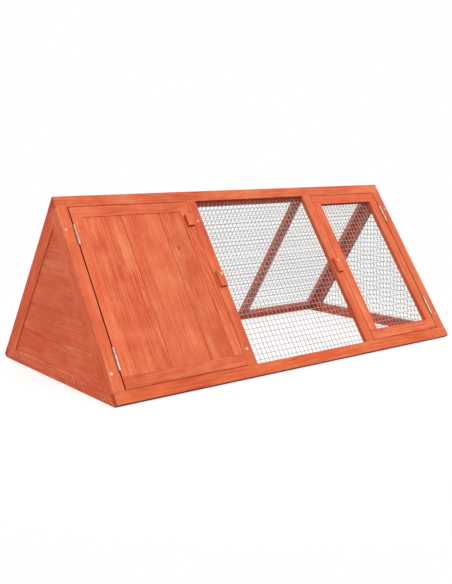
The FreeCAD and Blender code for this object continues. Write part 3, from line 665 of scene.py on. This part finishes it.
random.seed(11)
for number, name in enumerate(wooden):
    along, out = grain_of(name)
    points = [vertex.co for vertex in frame["nodes"][name].data.vertices]
    tone = Vector((1, 1, 1)) * TONES.get(name, random.uniform(0.97, 1.02))
    # Painted shade: a redder tint on the shaded sides, lighter on the left gable.
    if name.startswith(SHADED_TIMBER_PREFIXES):
        tone *= LEFT_GABLE_SHADE_TINT if name.startswith("left_gable") else SHADE_TINT
    if name in DEEPER:
        tone *= DEEPER_SHIFT
    material = wood_material(
        name, points, grain_axes(along, out), seed=1.7 * number + 0.9, tone=tone,
        contrast=WAVY.get(name, random.uniform(0.8, 1.1)), torn=TORN.get(name, 0.0),
        strokes=STROKES.get(name, 0.0), knot=KNOTS.get(name), shaded_side=SHADED_SIDES.get(name),
        gloss=GLOSSES.get(name, WOOD_GLOSS))
    dress(name, material)
print("wood materials", len([m for m in bpy.data.materials if m.name.startswith("wood_")]))

# %% [markdown]
# ## Zinc and steel
#
# The hinges, the screws and the wire are plated with zinc. Zinc is a pale grey metal whose crystals give
# it a faint cloudy pattern, and it dulls unevenly. One group makes that pattern, and the three finishes
# place it with their own scale, colour and gloss.

# %% Group for plated metal
def make_plating_group():
    """The colour, roughness and height of a plated skin."""
    group, given, result = new_group(
        "zinc plating",
        [("Place", "Vector", (0, 0, 0)), ("Crystals", "Float", 400.0), ("Bright", "Color", (1, 1, 1, 1)),
         ("Dull", "Color", (0.4, 0.4, 0.4, 1)), ("Gloss", "Float", 0.3)],
        [("Color", "Color"), ("Roughness", "Float"), ("Relief", "Float")],
    )
    cells = put(group, "ShaderNodeTexVoronoi", feature="F1")
    feed(group, cells.inputs["Vector"], given["Place"])
    feed(group, cells.inputs["Scale"], given["Crystals"])
    tone = put(group, "ShaderNodeSeparateColor")
    feed(group, tone.inputs[0], cells.outputs["Color"])
    dulled = cloud(group, given["Place"], (120, 120, 120), detail=4.0, roughness=0.6)
    dull_share = times(group, between(group, dulled, 0.35, 0.7), 0.6)
    share = plus(group, times(group, tone.outputs[0], 0.4), dull_share)
    feed(group, result["Color"], blend_colours(group, share, given["Bright"], given["Dull"]))
    feed(group, result["Roughness"], plus(group, given["Gloss"], times(group, share, 0.2)))
    feed(group, result["Relief"], plus(group, tone.outputs[1], dulled))
    return group


PLATING = make_plating_group()


def metal_material(name, bright, dull, gloss, crystals, depth, metallic=1.0):
    """A plated metal. Crystals gives how many fit in a metre, and depth how rough its skin is."""
    material, tree, shader, bump = principled(name)
    place = put(tree, "ShaderNodeTexCoord").outputs["Object"]
    plating = use_group(tree, PLATING, Place=place, Crystals=crystals, Bright=opaque(bright),
                        Dull=opaque(dull), Gloss=gloss)
    shader.inputs["Metallic"].default_value = metallic
    feed(tree, shader.inputs["Base Color"], plating["Color"])
    feed(tree, shader.inputs["Roughness"], plating["Roughness"])
    feed(tree, bump.inputs["Height"], plating["Relief"])
    set_bump(bump, depth, 0.5)
    return material


HINGE_ZINC = metal_material("hinge_zinc", (0.62, 0.54, 0.46), (0.36, 0.31, 0.26), 0.30, 700, 0.05 * MM)
SCREW_STEEL = metal_material("screw_steel", (0.68, 0.55, 0.44), (0.45, 0.35, 0.26), 0.36, 1500, 0.03 * MM)
GALVANISED = metal_material("galvanised_wire", (0.49, 0.48, 0.46), (0.31, 0.30, 0.29), 0.5, 1200,
                            0.08 * MM, metallic=0.7)

for name in frame["nodes"]:
    if name.endswith(NET_WORDS):
        dress(name, GALVANISED)
    elif name.endswith(METAL_WORDS):
        dress(name, SCREW_STEEL if name.endswith("screws") else HINGE_ZINC)
print("metal finishes", HINGE_ZINC.name, SCREW_STEEL.name, GALVANISED.name)

# %% [markdown]
# ## Wire mesh
#
# The run is closed with welded mesh of half-inch squares: one layer of wires lies across, the other
# goes up behind it, and the welds sink the two a little into each other. A texture with holes would look
# flat from near by and couldn't be exported as a shape, so each wire is a slim six-sided rod. The mesh
# of one bay is one piece. It is cut from a roll, so its wires are never quite straight, and a smooth
# noise moves every point a little. Its seed is set, so that every run gives the same nets.

# %% Wires of one net
MESH_PITCH = 12.7 * MM
WIRE_RADIUS, WIRE_SIDES = 0.58 * MM, 6
WIRE_STEP = 30 * MM
WELD_SINK, BEAD_SHARE = 0.25 * MM, 1.12
SWAY, SLOW_WAVES, QUICK_WAVES = 0.12 * MM, 9, 40
noise.seed_set(7)


def add_wire(part, start, end):
    """One straight wire in an empty mesh, cut into steps so that it can sway."""
    course = end - start
    turn = course.to_track_quat("Z", "X").to_matrix().to_4x4()
    bmesh.ops.create_cone(part, cap_ends=True, segments=WIRE_SIDES, radius1=WIRE_RADIUS,
                          radius2=WIRE_RADIUS, depth=course.length,
                          matrix=Matrix.Translation((start + end) / 2) @ turn)
    lengthwise = [edge for edge in part.edges if edge.calc_length() > course.length * 0.9]
    bmesh.ops.subdivide_edges(part, edges=lengthwise, cuts=max(1, round(course.length / WIRE_STEP) - 1))


def add_bead(part, centre):
    """The small swelling of zinc where two wires are welded."""
    bmesh.ops.create_icosphere(part, subdivisions=1, radius=WIRE_RADIUS * BEAD_SHARE,
                               matrix=Matrix.Translation(centre))


def append(bm, part, point=(0, 0, 0), turn=0.0):
    """Adds a small mesh to a large one, at a point and turned about Z. Operators are slow on a large one."""
    place = Matrix.Translation(point) @ Matrix.Rotation(turn, 4, "Z")
    bmesh.ops.transform(part, matrix=place, verts=part.verts)
    mesh = bpy.data.meshes.new("part")
    part.to_mesh(mesh)
    part.free()
    bm.from_mesh(mesh)
    bpy.data.meshes.remove(mesh)


def sway(bm, reach):
    """Moves all points of a net by a smooth noise, as its wires aren't quite straight."""
    for vertex in bm.verts:
        slow = noise.noise_vector(vertex.co * SLOW_WAVES)
        quick = noise.noise_vector(vertex.co * QUICK_WAVES + Vector((5, 5, 5)))
        vertex.co += slow * reach + quick * reach * 0.5


print("mesh pitch in mm", MESH_PITCH / MM)

# %% Finish a mesh
def finished(bm, name, axes, material, body, replaced=()):
    """Turns a mesh made in a side's axes back into the hutch's and hands it over as a piece."""
    bmesh.ops.transform(bm, matrix=axes.transposed().to_4x4(), verts=bm.verts)
    bmesh.ops.recalc_face_normals(bm, faces=bm.faces)
    mesh = bpy.data.meshes.new(name)
    bm.to_mesh(mesh)
    bm.free()
    mesh.materials.append(material)
    piece = add_object(name, mesh)
    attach(piece, body)
    if replaced:
        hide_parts(*replaced)
    print(name, "faces", len(mesh.polygons))
    return piece


def smooth(piece, degrees):
    """Shades a round piece smoothly, but keeps its sharp edges."""
    mesh = piece.data
    mesh.polygons.foreach_set("use_smooth", [True] * len(mesh.polygons))
    mesh.set_sharp_from_angle(angle=math.radians(degrees))


# %% Nets of the bays
def rows_between(low, high):
    """Places of evenly pitched wires between two limits, centred."""
    room = high - low - 2 * WIRE_RADIUS
    count = int(room / MESH_PITCH) + 1
    first = (low + high - (count - 1) * MESH_PITCH) / 2
    return [first + i * MESH_PITCH for i in range(count)]


def net_between(node_name, piece_name, side, body, reach_across, reach_up):
    """The welded mesh of one bay. The two reach functions give where a wire starts and ends."""
    axes = SIDES[side]
    lowest, highest = node_corners(node_name, axes)
    level_depth = highest.z - WIRE_RADIUS
    upright_depth = level_depth - 2 * WIRE_RADIUS + WELD_SINK
    columns = rows_between(lowest.x, highest.x)
    bm = bmesh.new()
    for across in columns:
        low, high = reach_up(lowest, highest, across)
        if high - low > MESH_PITCH / 2:
            part = bmesh.new()
            add_wire(part, Vector((across, low, upright_depth)), Vector((across, high, upright_depth)))
            append(bm, part)
    for up in rows_between(lowest.y, highest.y):
        left, right = reach_across(lowest, highest, up)
        if right - left > MESH_PITCH / 2:
            part = bmesh.new()
            add_wire(part, Vector((left, up, level_depth)), Vector((right, up, level_depth)))
            for across in columns:
                if left < across < right:
                    add_bead(part, Vector((across, up, (level_depth + upright_depth) / 2)))
            append(bm, part)
    sway(bm, SWAY)
    smooth(finished(bm, piece_name, axes, GALVANISED, body, [node_name]), 60)


def full_width(lowest, highest, up):
    return lowest.x, highest.x


def full_height(lowest, highest, across):
    return lowest.y, highest.y


def gable_width(lowest, highest, up):
    """Ends of a level wire between the two slopes of the gable."""
    middle = (lowest.x + highest.x) / 2
    half = (highest.y - up) * SLOPE_RUN / SLOPE_RISE
    return middle - half, middle + half


def gable_height(lowest, highest, across):
    """Ends of an upright wire under the two slopes of the gable."""
    middle = (lowest.x + highest.x) / 2
    return lowest.y, highest.y - abs(across - middle) * SLOPE_RISE / SLOPE_RUN


NETS = {
    "front_run_mesh": ("wire_front_bay", "front", "root"),
    "mesh_door_mesh": ("wire_mesh_door", "front", "mesh_door"),
    "rear_mesh_long": ("wire_rear_long", "rear", "root"),
    "rear_mesh_short": ("wire_rear_short", "rear", "root"),
    "right_gable_mesh": ("wire_right_gable", "right", "root"),
}
for node_name, (piece_name, side, body) in NETS.items():
    reaches = (gable_width, gable_height) if side == "right" else (full_width, full_height)
    net_between(node_name, piece_name, side, body, *reaches)

# %% [markdown]
# ## Screw heads
#
# Small pale dots in the timbers of the front are the heads of countersunk screws with a cross recess.
# The construction has them as plain discs on shanks. Here a ring of edges round each flat head is
# extruded and scaled step by step: an eased rim, a cone, the shank and its tip. Then the five faces of a
# cross are extruded downwards, which presses the recess into the head.

# %% Solids of one node
def solids_of(name, axes):
    """The corners of each separate solid of a construction piece, in those axes."""
    bm = bmesh.new()
    bm.from_mesh(frame["nodes"][name].data)
    bmesh.ops.remove_doubles(bm, verts=bm.verts, dist=0.001 * MM)
    found, waiting = [], set(bm.verts)
    while waiting:
        island, border = set(), [waiting.pop()]
        while border:
            vertex = border.pop()
            island.add(vertex)
            for edge in vertex.link_edges:
                other = edge.other_vert(vertex)
                if other in waiting:
                    waiting.discard(other)
                    border.append(other)
        found.append(corners_on([vertex.co for vertex in island], axes))
    bm.free()
    return sorted(found, key=lambda corners: (round(corners[0].x, 4), round(corners[0].y, 4)))


print("screws in the front", len(solids_of("front_frame_screws", SIDES["front"])))

# %% Cross-recessed screws
HEAD_SEGMENTS = 24
RECESS_DEPTH, RECESS_SHARE, RECESS_TAPER, SLOT_SHARE = 1.0 * MM, 0.62, 0.72, 0.2
FLAT_SHARE, RIM_DROP, RIM_FOOT = 0.93, 0.25 * MM, 0.35 * MM
SHANK_SHARE, TIP_SHARE = 0.5, 0.15


def add_screw(bm, base, head_radius, length, turn):
    """A countersunk screw along Z with its head's top at the base point, and a cross recess in it."""
    place = Matrix.Translation(base) @ Matrix.Rotation(turn, 4, "Z")
    inverse = place.inverted()
    reach, slot, flat = [head_radius * share for share in (RECESS_SHARE, SLOT_SHARE, FLAT_SHARE)]
    head_height = shank_radius = head_radius * SHANK_SHARE
    grid = bmesh.ops.create_grid(bm, x_segments=3, y_segments=3, size=reach, matrix=place)["verts"]
    for vertex in grid:
        local = inverse @ vertex.co
        for i in range(2):
            if abs(local[i]) < reach / 2:
                local[i] = math.copysign(slot, local[i])
        vertex.co = place @ local
    faces = {face for vertex in grid for face in vertex.link_faces}
    corner_faces = [face for face in faces if min(map(abs, (inverse @ face.calc_center_median()).xy)) > slot]
    bmesh.ops.delete(bm, geom=corner_faces, context="FACES")
    cross = [face for face in faces if face.is_valid]
    rim_edges = [edge for face in cross for edge in face.edges if len(edge.link_faces) == 1]
    circle = bmesh.ops.create_circle(bm, cap_ends=False, segments=HEAD_SEGMENTS, radius=flat, matrix=place)
    ring = list({edge for vertex in circle["verts"] for edge in vertex.link_edges})
    bmesh.ops.bridge_loops(bm, edges=rim_edges + ring)
    profile = [(head_radius, -RIM_DROP), (head_radius, -RIM_FOOT), (shank_radius, -head_height),
               (shank_radius, -length + shank_radius), (shank_radius * TIP_SHARE, -length)]
    radius, depth = flat, 0.0
    for next_radius, next_depth in profile:
        wall = bmesh.ops.extrude_edge_only(bm, edges=ring)
        points = [item for item in wall["geom"] if isinstance(item, bmesh.types.BMVert)]
        ring = [item for item in wall["geom"] if isinstance(item, bmesh.types.BMEdge)]
        scale = Matrix.Diagonal((next_radius / radius, next_radius / radius, 1, 1))
        drop = Matrix.Translation((0, 0, next_depth - depth))
        bmesh.ops.transform(bm, matrix=place @ drop @ scale @ inverse, verts=points)
        radius, depth = next_radius, next_depth
    bmesh.ops.contextual_create(bm, geom=ring)
    pressed = bmesh.ops.extrude_face_region(bm, geom=cross)
    bottom = [item for item in pressed["geom"] if isinstance(item, bmesh.types.BMVert)]
    bmesh.ops.delete(bm, geom=cross, context="FACES_ONLY")
    narrow = Matrix.Diagonal((RECESS_TAPER, RECESS_TAPER, 1, 1))
    press = Matrix.Translation((0, 0, -RECESS_DEPTH))
    bmesh.ops.transform(bm, matrix=place @ press @ narrow @ inverse, verts=bottom)


def screws_for(node_name, piece_name, side, body):
    """Screws with a cross recess in the place of a node of plain ones."""
    axes = SIDES[side]
    bm = bmesh.new()
    for lowest, highest in solids_of(node_name, axes):
        size = highest - lowest
        top = highest - Vector((size.x / 2, size.y / 2, 0))
        add_screw(bm, top, size.x / 2, size.z, random.uniform(0, math.pi))
    smooth(finished(bm, piece_name, axes, SCREW_STEEL, body, [node_name]), 35)


random.seed(5)
screws_for("front_frame_screws", "cross_screws_front", "front", "root")
screws_for("rear_frame_screws", "cross_screws_rear", "rear", "root")
screws_for("turn_button_screws", "cross_screws_buttons", "front", "root")

# %% [markdown]
# ## Staples
#
# The mesh is stapled to the inner faces of the frames. The staples are only seen from inside or through
# the mesh, but nothing else holds the wire. Each is a flat crown over a wire with two legs driven into
# the wood, a few degrees askew, as from a hand tacker.

# %% Staples on the inner faces
STAPLE_WIDTH, STAPLE_LEG = 10 * MM, 5 * MM
STAPLE_WIRE, STAPLE_FLAT = 1.2 * MM, 0.6 * MM
STAPLE_PITCH, STAPLE_INSET = 76.2 * MM, 4 * MM
ASKEW = math.radians(9)


def new_staple():
    """A staple with its crown at the origin and its legs towards +Z, into the timber."""
    part = bmesh.new()
    bmesh.ops.create_cube(part, size=1, matrix=Matrix.Diagonal((STAPLE_WIDTH, STAPLE_WIRE, STAPLE_FLAT, 1)))
    inner = STAPLE_WIDTH / 2 - STAPLE_FLAT
    for cut_at in (-inner, inner):
        geometry = [*part.verts, *part.edges, *part.faces]
        bmesh.ops.bisect_plane(part, geom=geometry, plane_co=(cut_at, 0, 0), plane_no=(1, 0, 0))
    feet = []
    for face in part.faces:
        middle = face.calc_center_median()
        if middle.z > STAPLE_FLAT * 0.4 and abs(middle.x) > inner:
            feet.append(face)
    drawn = bmesh.ops.extrude_discrete_faces(part, faces=feet)
    points = [vertex for face in drawn["faces"] for vertex in face.verts]
    bmesh.ops.translate(part, vec=(0, 0, STAPLE_LEG), verts=points)
    return part


def staples_along(bm, start, end, depth, along_turn):
    """Evenly pitched staples on a line between two points of a side."""
    length = (end - start).length
    count = max(2, round(length / STAPLE_PITCH))
    for i in range(count):
        point = start.lerp(end, (i + 0.5) / count)
        append(bm, new_staple(), (*point, depth), along_turn + random.uniform(-ASKEW, ASKEW))


def staples_for(node_name, piece_name, side, body):
    """Staples round the edge of one net."""
    axes = SIDES[side]
    lowest, highest = node_corners(node_name, axes)
    depth = highest.z - 4 * WIRE_RADIUS
    inset = Vector((STAPLE_INSET, STAPLE_INSET))
    (left, low), (right, high) = lowest.xy + inset, highest.xy - inset
    quarter = math.pi / 2
    if side == "right":
        lean = math.atan2(SLOPE_RISE, SLOPE_RUN)
        foot = Vector((left + STAPLE_INSET, low + STAPLE_INSET))
        other_foot = Vector((right - STAPLE_INSET, low + STAPLE_INSET))
        top = Vector(((left + right) / 2, high - STAPLE_INSET))
        lines = [(foot, top, quarter + lean), (other_foot, top, quarter - lean), (foot, other_foot, quarter)]
    else:
        foot, other_foot, head, other_head = [Vector((x, y)) for y in (low, high) for x in (left, right)]
        lines = [(foot, other_foot, quarter), (head, other_head, quarter),
                 (foot, head, 0.0), (other_foot, other_head, 0.0)]
    bm = bmesh.new()
    for start, end, turn in lines:
        staples_along(bm, start, end, depth, turn)
    finished(bm, piece_name, axes, SCREW_STEEL, body)


random.seed(23)
for node_name, (piece_name, side, body) in NETS.items():
    staples_for(node_name, piece_name.replace("wire_", "staples_"), side, body)

# %% [markdown]
# ## Floor and background
#
# The photograph has a white ground that runs into a white background. The floor is a wide pale disc. It
# is lifted to white by a little glow that only the eye's rays see, so it still keeps the hutch's shadow
# near by and adds no light to the hutch. Further out the eye's rays see its own colour fade to nothing
# and the glow rise to exactly 1. If it rose above 1, the thin wires in front of it would be outshone.
# Inside the den the glow stays low, because a closed box has a dark floor.

# %% Floor
FLOOR_RADIUS, FLOOR_SEGMENTS = 9.0, 96
FLOOR_COLOUR, FLOOR_GLOW = 0.38, 0.73
CLOUDED_SHARE = 0.985
FADE_FROM, FADE_TO = 0.55, 1.15
DEN_SHARE = 0.15
FOOT_DEPTH = 10.6 * MM


def seen_rays(tree):
    """1 for rays that the eye follows: straight, mirrored or through glass."""
    path = put(tree, "ShaderNodeLightPath")
    seen = reckon(tree, "MAXIMUM", path.outputs["Is Camera Ray"], path.outputs["Is Glossy Ray"])
    return reckon(tree, "MAXIMUM", seen, path.outputs["Is Transmission Ray"])


def inside_den(tree, place):
    """1 on the floor between the left gable and the divider, 0 elsewhere."""
    den_end = node_corners("left_gable_board_1", SIDES["front"])[0].x
    divider = node_corners("divider_panel", SIDES["front"])[0].x
    half_depth = max(vertex.co.y for vertex in frame["nodes"]["rear_bottom_rail"].data.vertices)
    x, y, _ = split(tree, place)
    across = times(tree, reckon(tree, "GREATER_THAN", x, den_end), reckon(tree, "LESS_THAN", x, divider))
    deep = reckon(tree, "LESS_THAN", reckon(tree, "ABSOLUTE", y), half_depth - FOOT_DEPTH)
    return times(tree, across, deep)


def floor_material():
    """A pale matt floor that glows for the eye alone."""
    material, tree, shader, bump = principled("pale_floor")
    place = put(tree, "ShaderNodeTexCoord").outputs["Object"]
    seen = seen_rays(tree)
    far = between(tree, reckon_vector(tree, "LENGTH", place), FADE_FROM, FADE_TO)
    plain, clouded = [opaque([FLOOR_COLOUR * share] * 3) for share in (1, CLOUDED_SHARE)]
    shade = blend_colours(tree, cloud(tree, place, (3, 3, 3)), plain, clouded)
    faded = blend_colours(tree, times(tree, far, seen), shade, (0, 0, 0, 1))
    feed(tree, shader.inputs["Base Color"], faded)
    shader.inputs["Roughness"].default_value = 0.9
    shader.inputs["Specular IOR Level"].default_value = 0.0
    glow = plus(tree, FLOOR_GLOW, times(tree, far, 1 - FLOOR_GLOW))
    lit = minus(tree, 1.0, times(tree, inside_den(tree, place), 1 - DEN_SHARE))
    shader.inputs["Emission Color"].default_value = (1, 1, 1, 1)
    feed(tree, shader.inputs["Emission Strength"], times(tree, glow, lit, seen))
    feed(tree, bump.inputs["Height"], cloud(tree, place, (400, 400, 400)))
    set_bump(bump, 0.05 * MM, 1.0)
    return material


bm = bmesh.new()
bmesh.ops.create_circle(bm, cap_ends=True, radius=FLOOR_RADIUS, segments=FLOOR_SEGMENTS)
floor_mesh = bpy.data.meshes.new("floor")
bm.to_mesh(floor_mesh)
bm.free()
floor_mesh.materials.append(floor_material())
floor = add_object("floor", floor_mesh)
print("floor radius", FLOOR_RADIUS)

# %% [markdown]
# ## Light
#
# A white world gives the even light of a studio, and the eye's rays see it pure white. One large soft
# lamp stands high to the right of the camera, so the sloping front is brightest, the left end is a
# little darker, and undersides fall off to a deep red. A weak lamp on the left lifts the gable, and one
# behind keeps the rear readable.

# %% World and lamps
WORLD_LIGHT = 0.69
LAMPS = {
    "key": ((1.3, -3.5, 3.0), (0, 0, 0.2), 2.3, 86),
    "left_fill": ((-3.0, -0.6, 1.2), (-0.5, 0, 0.15), 1.5, 6),
    "rear_fill": ((-1.2, 2.6, 2.0), (0, 0, 0.2), 1.8, 28),
}


def make_world():
    """An even white world, which the eye's rays see pure white."""
    world = bpy.data.worlds.new("studio")
    world.use_nodes = True
    tree = world.node_tree
    background = tree.nodes["Background"]
    background.inputs["Color"].default_value = (1, 1, 1, 1)
    seen = seen_rays(tree)
    strength = plus(tree, WORLD_LIGHT, times(tree, seen, 1 - WORLD_LIGHT))
    feed(tree, background.inputs["Strength"], strength)
    bpy.context.scene.world = world


def add_lamp(name, place, target, size, power):
    """A square soft lamp that looks at a target."""
    data = bpy.data.lights.new(name, "AREA")
    data.shape = "SQUARE"
    data.size = size
    data.energy = power
    item = add_object(name, data)
    item.location = place
    item.rotation_mode = "QUATERNION"
    item.rotation_quaternion = (Vector(target) - Vector(place)).to_track_quat("-Z", "Y")


make_world()
for name, settings in LAMPS.items():
    add_lamp(name, *settings)
bpy.context.scene.view_settings.view_transform = "Standard"
